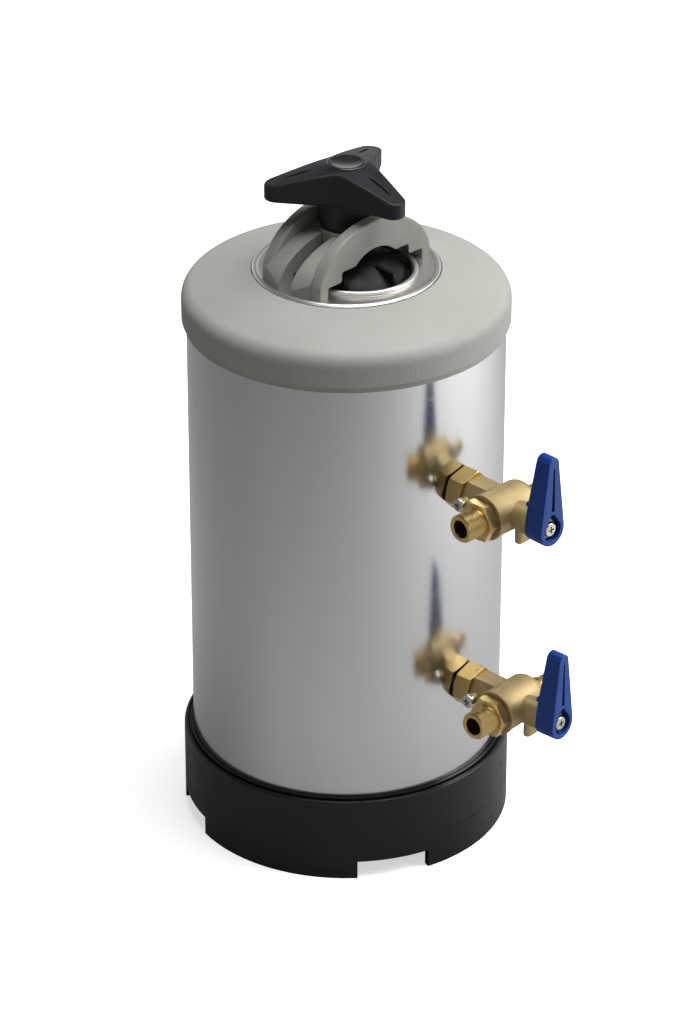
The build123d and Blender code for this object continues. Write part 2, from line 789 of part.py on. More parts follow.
def valve_body(height):
    """Cast body: tail and hexagon neck, barrel with outlet rim and drain boss, stem boss and bleed boss."""
    with BuildPart() as body:
        with BuildSketch(barrel_profile_plane(height)) as profile:
            with BuildLine():
                Polyline(
                    (-drain_y, 0),
                    (-drain_y, drain_boss_r),
                    (-barrel_back, drain_boss_r),
                    (-barrel_back, barrel_r),
                    (barrel_front, barrel_r),
                    (barrel_front, barrel_rim_r),
                    (rim_y, barrel_rim_r),
                    (rim_y, 0),
                    close=True,
                )
            make_face()
            fillet(profile.vertices().group_by(Axis.Y)[-1], radius=barrel_rim_round)
            shoulder = profile.vertices().filter_by(lambda v: abs(v.X + barrel_back) < shaft_gap)
            fillet(shoulder.sort_by(Axis.Y)[-1], radius=barrel_back_round)
            fillet(profile.vertices().group_by(Axis.X)[0].sort_by(Axis.Y)[-1], radius=drain_boss_round)
        revolve(axis=barrel_axis(height))
        with BuildSketch(stem_plane(neck_x, height)):
            RegularPolygon(neck_across / 2, 6, major_radius=False)
        extrude(amount=barrel_x - neck_x)
        with BuildSketch(stem_plane(socket_back_x, height)):
            Circle(tail_r)
        extrude(amount=neck_x - socket_back_x)
        with BuildSketch(stem_plane(barrel_x, height)):
            Circle(stem_boss_r)
        extrude(amount=stem_boss_long)
        bleed_x = neck_x + bleed_x_back
        with BuildSketch(outlet_plane(0, height)):
            with Locations((bleed_x - barrel_x, 0)):
                Circle(bleed_boss_r)
        extrude(amount=bleed_boss_reach)
        post_x = stem_end_x - post_back
        with BuildSketch(Plane.XY.offset(height - stem_boss_r - post_long)):
            with Locations((post_x, post_deep / 2 - post_r)):
                SlotOverall(post_deep, post_r + post_r, rotation=90)
        extrude(amount=post_long + stem_boss_r / 2)
        fillet(body.edges().group_by(Axis.Z)[0], radius=post_round)
        with BuildSketch(outlet_plane(-seat_reach, height)):
            Circle(cavity_r)
        extrude(amount=seat_reach + rim_y, mode=Mode.SUBTRACT)
        with BuildSketch(drain_plane(0, height)):
            Circle(spout_r)
        extrude(amount=drain_y, mode=Mode.SUBTRACT)
        with BuildSketch(stem_plane(socket_back_x, height)):
            Circle(port_bore_r)
        extrude(amount=barrel_x - socket_back_x, mode=Mode.SUBTRACT)
        with BuildSketch(stem_plane(barrel_x, height)):
            Circle(stem_r + shaft_gap)
        extrude(amount=stem_boss_long, mode=Mode.SUBTRACT)
        with BuildSketch(stem_plane(stem_end_x - gland_long, height)):
            Circle(gland_r)
        extrude(amount=gland_long, mode=Mode.SUBTRACT)
        with BuildSketch(outlet_plane(0, height)):
            with Locations((bleed_x - barrel_x, 0)):
                Circle(bleed_screw_r)
        extrude(amount=bleed_boss_reach, mode=Mode.SUBTRACT)
    return body.part


def valve_ball(height):
    """Ball with an angled waterway from the tank port to the outlet."""
    with BuildPart() as ball:
        with Locations((barrel_x, 0, height)):
            Sphere(ball_r, rotation=(0, 90, 0))
        with BuildSketch(outlet_plane(0, height)):
            Circle(port_bore_r)
        extrude(amount=ball_r, mode=Mode.SUBTRACT)
        with BuildSketch(stem_plane(barrel_x - ball_r, height)):
            Circle(port_bore_r)
        extrude(amount=ball_r, mode=Mode.SUBTRACT)
        with BuildSketch(stem_plane(barrel_x + ball_r - stem_r / 2, height)):
            Rectangle(tongue_thick, stem_r + stem_r)
        extrude(amount=stem_r, mode=Mode.SUBTRACT)
    return ball.part


def valve_seat(height, facing):
    """Seat ring beside the ball, on the outlet side (1) or the drain side (-1)."""
    with BuildPart() as ring:
        with BuildSketch(outlet_plane(facing * seat_reach, height)):
            Circle(cavity_r)
            Circle(port_bore_r, mode=Mode.SUBTRACT)
        extrude(amount=-facing * (seat_reach - stem_r - seat_gap))
        with Locations((barrel_x, 0, height)):
            Sphere(ball_r + shaft_gap, rotation=(0, 90, 0), mode=Mode.SUBTRACT)
    return ring.part


def valve_stem(height):
    """Stem from the ball to the lever, with a seal groove and two flats at its outer end."""
    with BuildPart() as stem:
        start = barrel_x + ball_r - stem_r / 2
        finish = lever_x + lever_thick - lever_pocket_deep
        shaft_start = start + stem_r / 2 + seat_gap
        with BuildSketch(stem_plane(shaft_start, height)):
            Circle(stem_r)
        extrude(amount=finish - shaft_start)
        with BuildSketch(stem_plane(start + shaft_gap, height)):
            Rectangle(tongue_thick - shaft_gap - shaft_gap, stem_r + stem_r - shaft_gap - shaft_gap)
            Circle(stem_r - shaft_gap, mode=Mode.INTERSECT)
        extrude(amount=stem_r)
        with BuildSketch(stem_plane(finish - stem_flat_long, height)):
            Circle(stem_r + overrun)
            Rectangle((stem_r + overrun) * 2, stem_flat_across, mode=Mode.SUBTRACT)
        extrude(amount=stem_flat_long, mode=Mode.SUBTRACT)
        with BuildSketch(stem_plane(stem_end_x - stem_ring_back, height)):
            Circle(stem_r + overrun)
            Circle(stem_r - stem_groove_deep, mode=Mode.SUBTRACT)
        extrude(amount=stem_ring_wide, mode=Mode.SUBTRACT)
        with BuildSketch(stem_plane(finish - lever_screw_long, height)):
            Circle(lever_screw_r)
        extrude(amount=lever_screw_long, mode=Mode.SUBTRACT)
    return stem.part


def stem_seal(height):
    """Seal ring in the stem's groove."""
    with BuildPart() as ring:
        with BuildSketch(stem_plane(stem_end_x - stem_ring_back, height)):
            Circle(stem_r)
            Circle(stem_r - stem_groove_deep, mode=Mode.SUBTRACT)
        extrude(amount=stem_ring_wide)
    return ring.part


def stem_gland(height):
    """Gland bush that keeps the stem in its boss."""
    with BuildPart() as gland:
        with BuildSketch(stem_plane(stem_end_x - gland_long, height)):
            Circle(gland_r)
            Circle(stem_r + shaft_gap, mode=Mode.SUBTRACT)
        extrude(amount=gland_long)
    return gland.part


def pan_head(plane, head_r, head_high):
    """Round screw head with a cross recess, standing on a plane."""
    with BuildPart() as head:
        with BuildSketch(plane):
            Circle(head_r)
        extrude(amount=head_high)
        rims = head.edges().filter_by(GeomType.CIRCLE).sort_by(Axis(plane.origin, plane.z_dir))
        fillet(rims[-1], radius=head_round)
        with BuildSketch(plane.offset(head_high - cross_deep)):
            Rectangle(cross_long, cross_wide)
            Rectangle(cross_wide, cross_long)
        extrude(amount=cross_deep, mode=Mode.SUBTRACT)
    return head.part


def lever_screw(height):
    """Pan-head screw that holds the lever on its stem."""
    under_head = lever_x + lever_thick - lever_pocket_deep + lever_washer_thick
    head = pan_head(stem_plane(under_head, height), lever_screw_head_r, lever_screw_head_high)
    with BuildPart() as screw:
        add(head)
        with BuildSketch(stem_plane(under_head, height)):
            Circle(lever_screw_r)
        extrude(amount=-(lever_screw_long - lever_washer_thick))
    return screw.part


def lever_washer(height):
    """Washer under the lever's screw."""
    with BuildPart() as washer:
        with BuildSketch(stem_plane(lever_x + lever_thick - lever_pocket_deep, height)):
            Circle(lever_washer_r)
            Circle(lever_screw_r, mode=Mode.SUBTRACT)
        extrude(amount=lever_washer_thick)
    return washer.part


def valve_lever(height):
    """Tapered lever with a pocket for its screw and a groove along its face."""
    with BuildPart() as lever:
        with BuildSketch(stem_plane(lever_x, height)):
            Circle(lever_hub_r)
            with Locations((0, lever_long)):
                Circle(lever_tip_r)
            make_hull()
        extrude(amount=lever_thick)
        with BuildSketch(Plane(origin=(lever_x, 0, height), x_dir=(1, 0, 0), z_dir=(0, -1, 0))):
            with BuildLine():
                reach = lever_long + lever_tip_r
                Polyline(
                    (0, lever_hub_r),
                    (0, reach + overrun),
                    (lever_thick - lever_tip_thick, reach + overrun),
                    (lever_thick - lever_tip_thick, reach),
                    close=True,
                )
            make_face()
        extrude(amount=lever_hub_r, both=True, mode=Mode.SUBTRACT)
        fillet(lever.edges(), radius=lever_edge)
        with BuildSketch(stem_plane(lever_x - lever_lug_back, height)):
            with Locations((-lever_lug_side, lever_lug_up)):
                Circle(lever_lug_r)
        extrude(amount=lever_lug_back + lever_thick / 2)
        with BuildSketch(stem_plane(lever_x + lever_thick - lever_pocket_deep, height)):
            Circle(lever_pocket_r)
            with Locations((0, lever_pocket_reach)):
                Circle(lever_pocket_tip_r)
            make_hull()
        extrude(amount=lever_pocket_deep, mode=Mode.SUBTRACT)
        with BuildSketch(stem_plane(lever_x + lever_thick - lever_groove_deep, height)):
            with BuildLine():
                groove_top = lever_groove_start + lever_groove_long
                Polyline(
                    (-lever_groove_wide / 2, lever_groove_start),
                    (lever_groove_wide / 2, lever_groove_start),
                    (lever_groove_end_wide / 2, groove_top),
                    (-lever_groove_end_wide / 2, groove_top),
                    close=True,
                )
            make_face()
        extrude(amount=lever_groove_deep, mode=Mode.SUBTRACT)
        with BuildSketch(stem_plane(lever_x - overrun, height)):
            Circle(stem_r)
            Rectangle(stem_r + stem_r, stem_flat_across, mode=Mode.INTERSECT)
        extrude(amount=lever_thick, mode=Mode.SUBTRACT)
    return lever.part


def outlet_nipple(height):
    """Outlet: a spigot in the barrel, a hexagon and a male pipe thread."""
    with BuildPart() as nipple:
        with BuildSketch(outlet_plane(rim_y - nipple_spigot_long, height)):
            Circle(nipple_spigot_r)
        extrude(amount=nipple_spigot_long + nipple_gasket_thick)
        with BuildSketch(outlet_plane(hex_y, height)):
            RegularPolygon(nipple_hex_across / 2, 6, major_radius=False)
        extrude(amount=nipple_hex_thick)
        with BuildSketch(outlet_plane(thread_y, height)):
            Circle(nipple_thread_r)
        extrude(amount=nipple_thread_long)
        chamfer(nipple.edges().group_by(Axis.Y)[0], length=nipple_chamfer)
        with BuildSketch(outlet_plane(rim_y - nipple_spigot_long, height)):
            Circle(port_bore_r)
        extrude(amount=nipple_spigot_long + thread_y + nipple_thread_long, mode=Mode.SUBTRACT)
    return nipple.part


def outlet_gasket(height):
    """Washer between the barrel's rim and the nipple's hexagon."""
    with BuildPart() as gasket:
        with BuildSketch(outlet_plane(rim_y, height)):
            Circle(nipple_hex_across / 2)
            Circle(nipple_spigot_r, mode=Mode.SUBTRACT)
        extrude(amount=nipple_gasket_thick)
    return gasket.part


def drain_spout(height):
    """Barbed hose spout in the drain boss."""
    with BuildPart() as spout:
        with BuildSketch(drain_plane(drain_y - spout_plug_long, height)):
            Circle(spout_r)
        extrude(amount=spout_plug_long + spout_long)
        with BuildSketch(drain_plane(drain_y, height)):
            Circle(spout_collar_r)
        extrude(amount=spout_collar_long)
        for barb in range(barb_count):
            with BuildSketch(drain_plane(drain_y + barb_start + barb * barb_pitch, height)):
                Circle(spout_r + barb_rise)
            extrude(amount=barb_long, taper=barb_taper)
        with BuildSketch(drain_plane(drain_y - spout_plug_long, height)):
            Circle(spout_bore_r)
        extrude(amount=spout_plug_long + spout_long, mode=Mode.SUBTRACT)
    return spout.part


def bleed_screw(height):
    """Pan-head bleed screw on the side of the neck."""
    side_plane = outlet_plane(bleed_boss_reach + bleed_seal_thick, height)
    head_plane = Plane(
        origin=side_plane.origin - Vector(barrel_x - neck_x - bleed_x_back, 0, 0),
        x_dir=side_plane.x_dir,
        z_dir=side_plane.z_dir,
    )
    head = pan_head(head_plane, bleed_head_r, bleed_head_high)
    with BuildPart() as screw:
        add(head)
        with BuildSketch(head_plane):
            Circle(bleed_screw_r)
        extrude(amount=-(bleed_boss_reach - port_bore_r))
    return screw.part


def bleed_seal(height):
    """Seal ring under the bleed screw's head."""
    with BuildPart() as ring:
        with BuildSketch(outlet_plane(bleed_boss_reach, height)):
            with Locations((neck_x + bleed_x_back - barrel_x, 0)):
                Circle(bleed_seal_r)
                Circle(bleed_screw_r, mode=Mode.SUBTRACT)
        extrude(amount=bleed_seal_thick)
    return ring.part


valve_pieces = {
    "strainer": port_strainer,
    "tank_socket": tank_socket,
    "port_gasket": port_gasket,
    "locknut": port_locknut,
    "valve_body": valve_body,
    "ball": valve_ball,
    "stem": valve_stem,
    "stem_seal": stem_seal,
    "stem_gland": stem_gland,
    "lever": valve_lever,
    "lever_washer": lever_washer,
    "lever_screw": lever_screw,
    "outlet_nipple": outlet_nipple,
    "outlet_gasket": outlet_gasket,
    "drain_spout": drain_spout,
    "bleed_screw": bleed_screw,
    "bleed_seal": bleed_seal,
}
seat_sides = {"outlet_seat": 1, "drain_seat": -1}

for side_name, valve_height in valve_heights.items():
    for piece_name, make_piece in valve_pieces.items():
        save(turned(make_piece(valve_height), side_name), f"{side_name}_{piece_name}")
    for seat_name, facing in seat_sides.items():
        save(turned(valve_seat(valve_height, facing), side_name), f"{side_name}_{seat_name}")

# Resin bed, with room left round the lower strainer
strainer_start = socket_back_x - strainer_long - resin_gap
collar_start = socket_back_x - strainer_collar_thick - resin_gap
strainer_hollows = [
    port_hollow(lower_valve_height, strainer_r + resin_gap, strainer_start, tank_r),
    port_hollow(lower_valve_height, strainer_collar_r + resin_gap, collar_start, tank_r),
]
with BuildPart() as resin_bed:
    resin_r = tank_r - steel - resin_gap
    resin_low = bottom_low + steel + resin_gap
    with BuildSketch(Plane.XZ) as resin_profile:
        with BuildLine():
            edge_z = resin_low + sag(bottom_crown_r - steel - resin_gap, resin_r)
            middle_z = resin_low + sag(bottom_crown_r - steel - resin_gap, resin_r / 2)
            ThreePointArc((0, resin_low), (resin_r / 2, middle_z), (resin_r, edge_z))
            Polyline((resin_r, edge_z), (resin_r, resin_top), (0, resin_top), (0, resin_low))
        make_face()
        corner = resin_profile.vertices().group_by(Axis.X)[-1].sort_by(Axis.Y)[0]
        fillet(corner, radius=bottom_knuckle - steel - resin_gap)
    revolve(axis=Axis.Z)
    with Locations(Location((0, 0, 0), (0, 0, lower_valve_turn))):
        add(strainer_hollows, mode=Mode.SUBTRACT)
save(resin_bed.part, "resin_bed")
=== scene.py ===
"""Manual water softener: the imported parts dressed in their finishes, with threaded pieces where the parts are plain.

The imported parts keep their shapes. Each gets a finish that starts from its real material. The two outlets and the
lid's stud are plain in the pack, so new pieces with real threads stand in for them. Sizes are in millimetres unless
a name says otherwise, and they are turned to metres where a mesh or a material is made.
"""

import logging
import math
from dataclasses import dataclass, field
from enum import Enum
from typing import Any, ClassVar, Sequence

import bpy
import numpy as np
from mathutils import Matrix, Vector


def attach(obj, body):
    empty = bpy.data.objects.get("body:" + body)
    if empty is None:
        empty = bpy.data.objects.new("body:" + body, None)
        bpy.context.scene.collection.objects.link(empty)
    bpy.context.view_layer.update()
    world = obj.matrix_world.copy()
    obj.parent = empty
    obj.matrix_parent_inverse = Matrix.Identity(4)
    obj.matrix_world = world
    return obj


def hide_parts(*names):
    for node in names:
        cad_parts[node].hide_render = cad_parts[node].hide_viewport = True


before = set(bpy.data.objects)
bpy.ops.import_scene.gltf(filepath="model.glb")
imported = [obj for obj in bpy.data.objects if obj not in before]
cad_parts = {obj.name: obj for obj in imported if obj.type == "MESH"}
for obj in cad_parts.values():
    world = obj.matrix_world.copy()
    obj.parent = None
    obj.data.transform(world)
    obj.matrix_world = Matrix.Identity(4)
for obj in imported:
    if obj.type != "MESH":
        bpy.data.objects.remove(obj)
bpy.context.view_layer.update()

LOG = logging.getLogger("water_softener")
Grid = np.ndarray
Links = dict[Any, Any]

MM = 0.001
FULL_TURN = 2 * np.pi
WHITE = (1, 1, 1, 1)
# The Mix node's sockets for colours have the same names as its sockets for numbers, so they go by their place
MIX_SHARE, MIX_FIRST, MIX_SECOND, MIX_RESULT = 0, 6, 7, 2
# A wave texture of scale 1 repeats after this length
WAVE_REPEAT = math.pi / 10


def linear(hex_colour: str) -> tuple[float, float, float, float]:
    """Turn an sRGB hex colour to linear light.

    Args:
        hex_colour: Six hex digits with a leading hash.

    Returns:
        Red, green, blue and an alpha of 1, linear.
    """
    parts = [int(hex_colour[i:i + 2], 16) / 255 for i in (1, 3, 5)]
    red, green, blue = (c / 12.92 if c <= 0.04045 else ((c + 0.055) / 1.055) ** 2.4 for c in parts)
    return red, green, blue, 1.0


def per_metre(millimetres: float) -> float:
    """A texture scale that repeats once in this many millimetres."""
    return 1.0 / (millimetres * MM)


def add_node(
    tree: bpy.types.NodeTree, kind: str, settings: Links | None = None, links: Links | None = None,
) -> bpy.types.Node:
    """Add a shader node with its settings and links.

    Args:
        tree: The material's or world's node tree.
        kind: The node's type name, without its ShaderNode prefix.
        settings: Node attributes, or input values by name or number.
        links: Output sockets that feed inputs, by the input's name or number.

    Returns:
        The new node.
    """
    node = tree.nodes.new("ShaderNode" + kind)
    for key, value in (settings or {}).items():
        if isinstance(key, str) and hasattr(node, key):
            setattr(node, key, value)
        else:
            node.inputs[key].default_value = value
    for key, socket in (links or {}).items():
        tree.links.new(socket, node.inputs[key])
    return node


def put_in_scene(thing: bpy.types.Object) -> None:
    """Link a new object to the scene."""
    bpy.context.scene.collection.objects.link(thing)


def face_towards(thing: bpy.types.Object, target: Vector) -> None:
    """Turn a lamp or camera, which looks along its own -Z, towards a point."""
    thing.rotation_euler = (target - thing.location).to_track_quat("-Z", "Y").to_euler()


class Streak(Enum):
    """How a finish's pattern is stretched along the axis that the metal was drawn in."""

    NONE = (1.0, 1.0, 1.0)
    UPRIGHT = (1.0, 1.0, 0.02)


class LatheAxis(Enum):
    """The axis that a piece turned about in the lathe, which its tool marks lie across."""

    X = "X"
    Y = "Y"


class Band(Enum):
    """The two levels of a value between which a finish changes from none to full."""

    # Level of the soft noise that the colour and the roughness drift with
    CLOUD = (0.3, 0.7)
    # Share of open sky over a point, for the painted shade in recesses: a recess starts at the first and is full at
    # the second
    HIDDEN = (0.75, 0.25)
    # Cosine between the rounded and the true normal: an edge starts to wear at the first
    BROKEN = (0.995, 0.85)
    # Level of the thin noise that scuffs are cut from
    SCUFFED = (0.56, 0.7)


@dataclass(frozen=True, kw_only=True)
class Finish:
    """A surface finish, from the real material and how its surface was made.

    The base colour drifts to a second in soft clouds, broken edges take a third, and recesses take a fourth, which is
    painted shade (on the lid, a lighter dust).
    The relief is a sum of a fine grain, a long waviness, moulded nubs and turning marks, each with its own size
    in millimetres and none where its depth is zero. Scuffs are thin marks that change only the roughness.
    Edges are rounded in the shading over edge_mm, because a real piece's edges are broken.
    """

    name: str
    base: str
    drift: str
    worn: str
    metallic: float
    rough: tuple[float, float]
    cloud_mm: float
    grain_mm: float
    grain_deep_mm: float
    streak: Streak = Streak.NONE
    wave_mm: float = 10.0
    wave_deep_mm: float = 0.0
    nub_mm: float = 0.8
    nub_deep_mm: float = 0.0
    nub_random: float = 1.0
    nub_smooth: float = 0.6
    tool_mm: float = 0.2
    tool_deep_mm: float = 0.0
    tool_axis: LatheAxis = LatheAxis.Y
    scuff: float = 0.0
    scuff_mm: float = 4.0
    # Painted shade in recesses, found by ambient occlusion: its colour, its share and its reach (on the lid, a lighter
    # dust)
    shade_and_dust: str = "#000000"
    shade_and_dust_share: float = 0.0
    shade_and_dust_mm: float = 3.0
    edge_mm: float = 0.35
    wear: float = 0.5
    ior: float = 1.5
    coat: float = 0.0
    coat_rough: float = 0.12

    def ramp(self, tree: bpy.types.NodeTree, value: Any, band: Band, start: float, finish: float) -> Any:
        """Map a value from a band's levels to start..finish, held at both ends."""
        low, high = band.value
        settings = {"From Min": low, "From Max": high, "To Min": start, "To Max": finish}
        return add_node(tree, "MapRange", settings, {"Value": value}).outputs["Result"]

    def noise(self, tree: bpy.types.NodeTree, place: Any, size_mm: float, detail: float = 3.0) -> Any:
        """Soft noise with features of this size."""
        settings = {"Scale": per_metre(size_mm), "Detail": detail, "Roughness": 0.55}
        return add_node(tree, "TexNoise", settings, {"Vector": place}).outputs["Fac"]

    def blend(self, tree: bpy.types.NodeTree, share: Any, first: Any, second_hex: str) -> Any:
        """Mix a colour towards a hex colour by a share."""
        settings = {"data_type": "RGBA", MIX_SECOND: linear(second_hex)}
        return add_node(tree, "Mix", settings, {MIX_SHARE: share, MIX_FIRST: first}).outputs[MIX_RESULT]

    def raise_by(self, tree: bpy.types.NodeTree, height: Any, deep_mm: float, normal: Any) -> Any:
        """Add one relief of this depth to a normal."""
        settings = {"Strength": 1.0, "Distance": deep_mm * MM}
        return add_node(tree, "Bump", settings, {"Height": height, "Normal": normal}).outputs["Normal"]

    def colour(self, tree: bpy.types.NodeTree, cloud: Any, rounded: Any) -> Any:
        """Lay the drift, the painted shade in recesses (a lighter dust on the lid) and the worn edges over the base
        colour.

        Args:
            tree: The material's tree.
            cloud: The soft noise that the colour drifts with.
            rounded: The normal with its edges rounded.

        Returns:
            The colour.
        """
        base = add_node(tree, "RGB").outputs[0]
        base.default_value = linear(self.base)
        colour = self.blend(tree, self.ramp(tree, cloud, Band.CLOUD, 0.0, 1.0), base, self.drift)
        # Painted shade: ambient occlusion pulls the colour in recesses towards the shade colour (on the lid, a lighter
        # dust)
        if self.shade_and_dust_share:
            sky = add_node(tree, "AmbientOcclusion", {"samples": 6, "Distance": self.shade_and_dust_mm * MM}).outputs["AO"]
            shade_and_dust_mix = self.ramp(tree, sky, Band.HIDDEN, 0.0, self.shade_and_dust_share)
            colour = self.blend(tree, shade_and_dust_mix, colour, self.shade_and_dust)
        true_normal = add_node(tree, "NewGeometry").outputs["Normal"]
        cosine = add_node(tree, "VectorMath", {"operation": "DOT_PRODUCT"}, {0: rounded, 1: true_normal})
        broken = self.ramp(tree, cosine.outputs["Value"], Band.BROKEN, 0.0, self.wear)
        return self.blend(tree, broken, colour, self.worn)

    def roughness(self, tree: bpy.types.NodeTree, cloud: Any, plain: Any) -> Any:
        """Let the roughness drift with the clouds, and add thin scuffs.

        Args:
            tree: The material's tree.
            cloud: The soft noise that the roughness drifts with.
            plain: Coordinates as they are.

        Returns:
            The roughness.
        """
        rough = self.ramp(tree, cloud, Band.CLOUD, *self.rough)
        if not self.scuff:
            return rough
        lie = {"Rotation": (0.4, 0.7, 0.3), "Scale": (1.0, 0.08, 1.0)}
        thin = add_node(tree, "Mapping", lie, {"Vector": plain}).outputs["Vector"]
        marks = self.ramp(tree, self.noise(tree, thin, self.scuff_mm, 5.0), Band.SCUFFED, 0.0, self.scuff)
        return add_node(tree, "Math", {"operation": "ADD"}, {0: rough, 1: marks}).outputs["Value"]

    def relief(self, tree: bpy.types.NodeTree, place: Any, plain: Any, normal: Any) -> Any:
        """Lay the finish's reliefs over the rounded normal.

        Args:
            tree: The material's tree.
            place: Coordinates stretched along the streak.
            plain: Coordinates as they are.
            normal: The normal to start from.

        Returns:
            The normal with every relief of the finish.
        """
        if self.wave_deep_mm:
            waves = self.noise(tree, plain, self.wave_mm, 1.0)
            normal = self.raise_by(tree, waves, self.wave_deep_mm, normal)
        if self.nub_deep_mm:
            settings = {
                "feature": "SMOOTH_F1", "Scale": per_metre(self.nub_mm),
                "Smoothness": self.nub_smooth, "Randomness": self.nub_random,
            }
            nubs = add_node(tree, "TexVoronoi", settings, {"Vector": plain}).outputs["Distance"]
            normal = self.raise_by(tree, nubs, -self.nub_deep_mm, normal)
        if self.tool_deep_mm:
            settings = {
                "wave_type": "BANDS", "bands_direction": self.tool_axis.value,
                "Scale": per_metre(self.tool_mm) * WAVE_REPEAT,
                "Distortion": 0.4, "Detail": 2.0, "Detail Scale": 1.5,
            }
            marks = add_node(tree, "TexWave", settings, {"Vector": plain}).outputs["Fac"]
            normal = self.raise_by(tree, marks, self.tool_deep_mm, normal)
        return self.raise_by(tree, self.noise(tree, place, self.grain_mm), self.grain_deep_mm, normal)

    def make(self) -> bpy.types.Material:
        """Build the material.

        Returns:
            The finished material.
        """
        material = bpy.data.materials.new(self.name)
        material.use_nodes = True
        tree = material.node_tree
        sockets = tree.nodes["Principled BSDF"].inputs
        sockets["Metallic"].default_value = self.metallic
        if not self.metallic:
            sockets["IOR"].default_value = self.ior
        sockets["Coat Weight"].default_value = self.coat
        sockets["Coat Roughness"].default_value = self.coat_rough
        plain = add_node(tree, "TexCoord").outputs["Object"]
        place = add_node(tree, "Mapping", {"Scale": self.streak.value}, {"Vector": plain}).outputs["Vector"]
        cloud = self.noise(tree, place, self.cloud_mm, 4.0)
        rounded = add_node(tree, "Bevel", {"samples": 4, "Radius": self.edge_mm * MM}).outputs["Normal"]
        tree.links.new(self.colour(tree, cloud, rounded), sockets["Base Color"])
        tree.links.new(self.roughness(tree, cloud, plain), sockets["Roughness"])
        tree.links.new(self.relief(tree, place, plain, rounded), sockets["Normal"])
        return material


# Cold-rolled stainless sheet, polished: a soft mirror with faint streaks up the draw
TANK_STEEL = Finish(
    name="polished_stainless_sheet", base="#cccccc", drift="#c7c7c7", worn="#dcdcdc", metallic=1.0,
    rough=(0.16, 0.2), cloud_mm=45.0, grain_mm=1.6, grain_deep_mm=0.0015, streak=Streak.UPRIGHT,
    wave_mm=70.0, wave_deep_mm=0.02, scuff=0.05, scuff_mm=6.0, edge_mm=0.2, wear=0.2,
)
# Pressed stainless head, buffed: brighter on its rolled rims
HEAD_STEEL = Finish(
    name="buffed_stainless_pressing", base="#dcdad6", drift="#d3d1cd", worn="#efeeeb", metallic=1.0,
    rough=(0.3, 0.38), cloud_mm=14.0, grain_mm=0.5, grain_deep_mm=0.002,
    wave_mm=12.0, wave_deep_mm=0.012, scuff=0.08, edge_mm=0.6, wear=0.7,
)
# Injection-moulded ABS from an etched tool: dry, warm grey, with small nubs in nearly even rows
COLLAR_ABS = Finish(
    name="grained_grey_abs", base="#b0b1ab", drift="#abaca6", worn="#b9bab4", metallic=0.0,
    rough=(0.5, 0.6), cloud_mm=30.0, grain_mm=0.35, grain_deep_mm=0.02,
    nub_mm=1.1, nub_deep_mm=0.14, nub_random=0.25, scuff=0.06, wear=0.2,
)
# Glass-filled nylon, moulded: smoother than the collar, with painted shade where the fins meet and in its other
# recesses
BRIDGE_NYLON = Finish(
    name="moulded_grey_nylon", base="#a3a49d", drift="#999a93", worn="#b9bab3", metallic=0.0,
    rough=(0.32, 0.42), cloud_mm=10.0, grain_mm=0.5, grain_deep_mm=0.012,
    wave_mm=5.0, wave_deep_mm=0.03, scuff=0.1, shade_and_dust="#6c6d67", shade_and_dust_share=0.45, shade_and_dust_mm=4.0,
)
# Black polypropylene, moulded: satin, with handling marks
BASE_POLYPROPYLENE = Finish(
    name="moulded_black_polypropylene", base="#070809", drift="#0a0b0c", worn="#232627", metallic=0.0,
    rough=(0.32, 0.44), cloud_mm=25.0, grain_mm=0.7, grain_deep_mm=0.01,
    wave_mm=30.0, wave_deep_mm=0.05, scuff=0.14, scuff_mm=5.0, wear=0.35, ior=1.4,
)
# Black nylon, moulded in a fine spark-eroded tool: satin, with a bluish sheen
KNOB_NYLON = Finish(
    name="moulded_black_nylon", base="#0c0f13", drift="#101317", worn="#30363c", metallic=0.0,
    rough=(0.38, 0.48), cloud_mm=8.0, grain_mm=0.3, grain_deep_mm=0.012,
    nub_mm=0.5, nub_deep_mm=0.02, scuff=0.08, edge_mm=0.5, ior=1.42,
)
# Black ABS cap, polished in its dish: it shows a clear light
CAP_ABS = Finish(
    name="polished_black_abs", base="#16191b", drift="#1b1e20", worn="#45494c", metallic=0.0,
    rough=(0.16, 0.24), cloud_mm=6.0, grain_mm=0.8, grain_deep_mm=0.004,
    wave_mm=6.0, wave_deep_mm=0.03, scuff=0.1, edge_mm=0.4, wear=0.7, coat=0.3,
)
# Black nylon lid, moulded: duller, with salt dust kept in its corners
LID_NYLON = Finish(
    name="moulded_black_lid_nylon", base="#0a0a0b", drift="#0e0e0f", worn="#202224", metallic=0.0,
    rough=(0.42, 0.54), cloud_mm=9.0, grain_mm=0.5, grain_deep_mm=0.02,
    shade_and_dust="#181919", shade_and_dust_share=0.3, wear=0.4, ior=1.4,
)
# Sand-cast brass, shot-blasted: matt, khaki, pitted like fine sand, with a little painted shade in its recesses
CAST_BRASS = Finish(
    name="sand_cast_brass", base="#b3a078", drift="#a8956b", worn="#cbba8f", metallic=1.0,
    rough=(0.54, 0.62), cloud_mm=9.0, grain_mm=0.5, grain_deep_mm=0.05,
    wave_mm=8.0, wave_deep_mm=0.08, nub_mm=0.8, nub_deep_mm=0.06, shade_and_dust="#6d5628", shade_and_dust_share=0.15, edge_mm=0.6,
)
# Bar brass turned on a lathe: bright, with the tool's rings along Y, and milled flats, and painted shade in its small
# recesses
OUTLET_BRASS = Finish(
    name="turned_bar_brass", base="#d0b47c", drift="#c8aa6e", worn="#ead6a4", metallic=1.0,
    rough=(0.26, 0.32), cloud_mm=14.0, grain_mm=0.3, grain_deep_mm=0.002,
    tool_mm=0.25, tool_deep_mm=0.004, shade_and_dust="#7a5620", shade_and_dust_share=0.35, shade_and_dust_mm=0.6, edge_mm=0.12,
)
